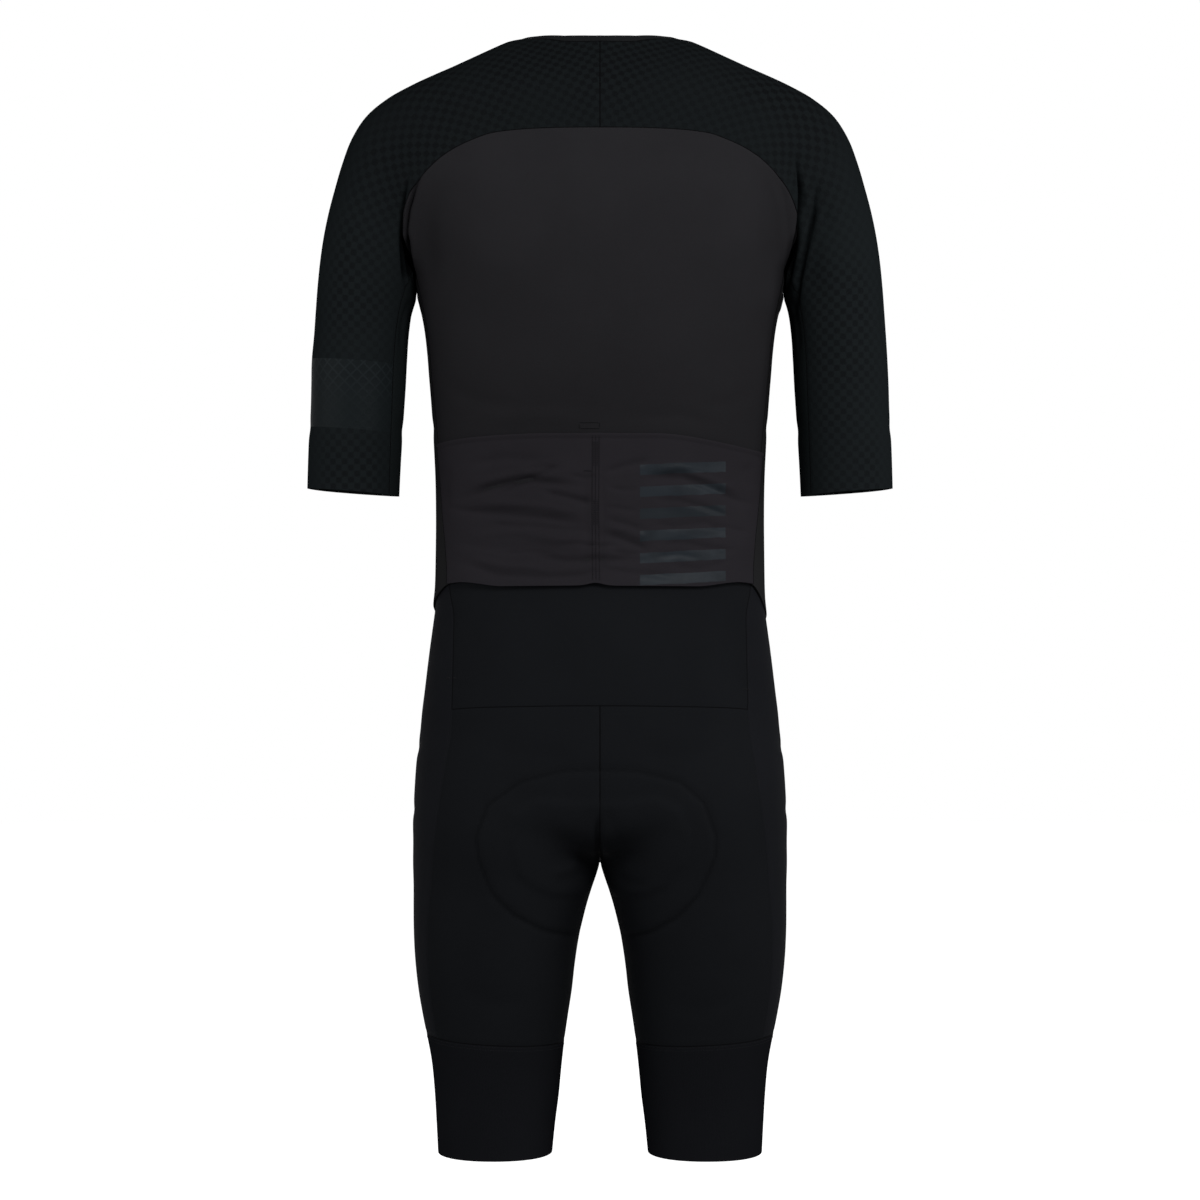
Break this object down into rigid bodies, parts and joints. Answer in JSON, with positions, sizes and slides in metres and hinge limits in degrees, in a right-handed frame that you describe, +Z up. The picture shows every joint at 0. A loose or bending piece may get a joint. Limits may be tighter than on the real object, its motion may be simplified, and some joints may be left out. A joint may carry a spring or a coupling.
{
  "type": "cycling skinsuit",
  "caption": "Short-sleeved cycling skinsuit in its hollow worn form, with textured raglan sleeves, front zip, full-width rear pocket, leg grippers and a seat pad inside.",
  "frame": {"origin": "midway between the two points where the shoulders meet the neck, where the wearer's shoulders hold the suit", "axes": "+Z up along the body, +X to the wearer's right, +Y to the front"},
  "size_m": [0.5342, 0.2422, 1.0182],
  "materials": {
    "plum_knit": "matt stretch knit",
    "textured_knit": "dimpled aero knit",
    "plain_knit": "matt stretch knit",
    "binding": "folded binding and zip tape",
    "shorts_knit": "dense stretch knit, slight sheen",
    "gripper": "raw-cut elastic band",
    "pad_foam": "brushed knit over foam",
    "zip_metal": "dark satin lacquer"
  },
  "bodies": {
    "garment": {"back": "plum_knit", "rear_pocket": "plum_knit", "front_left": "plum_knit", "front_right": "plum_knit", "sleeve_left": "textured_knit", "sleeve_right": "textured_knit", "underarm_left": "plain_knit", "underarm_right": "plain_knit", "side_left": "plain_knit", "side_right": "plain_knit", "neck_band": "binding", "zip_tape_left": "binding", "zip_tape_right": "binding", "zip_slider": "zip_metal", "waist_back": "shorts_knit", "leg_back_left": "shorts_knit", "leg_back_right": "shorts_knit", "leg_front_left": "shorts_knit", "leg_front_right": "shorts_knit", "leg_band_left": "gripper", "leg_band_right": "gripper", "pad": "pad_foam"},
    "zip_pull": {"zip_pull": "zip_metal"}
  },
  "joints": [
    {"name": "zip_pull", "type": "hinge", "parent": "garment", "child": "zip_pull", "pos_m": [0, 0.09762, -0.08268], "axis": [1, 0, 0], "range_deg": [0, 150]}
  ]
}
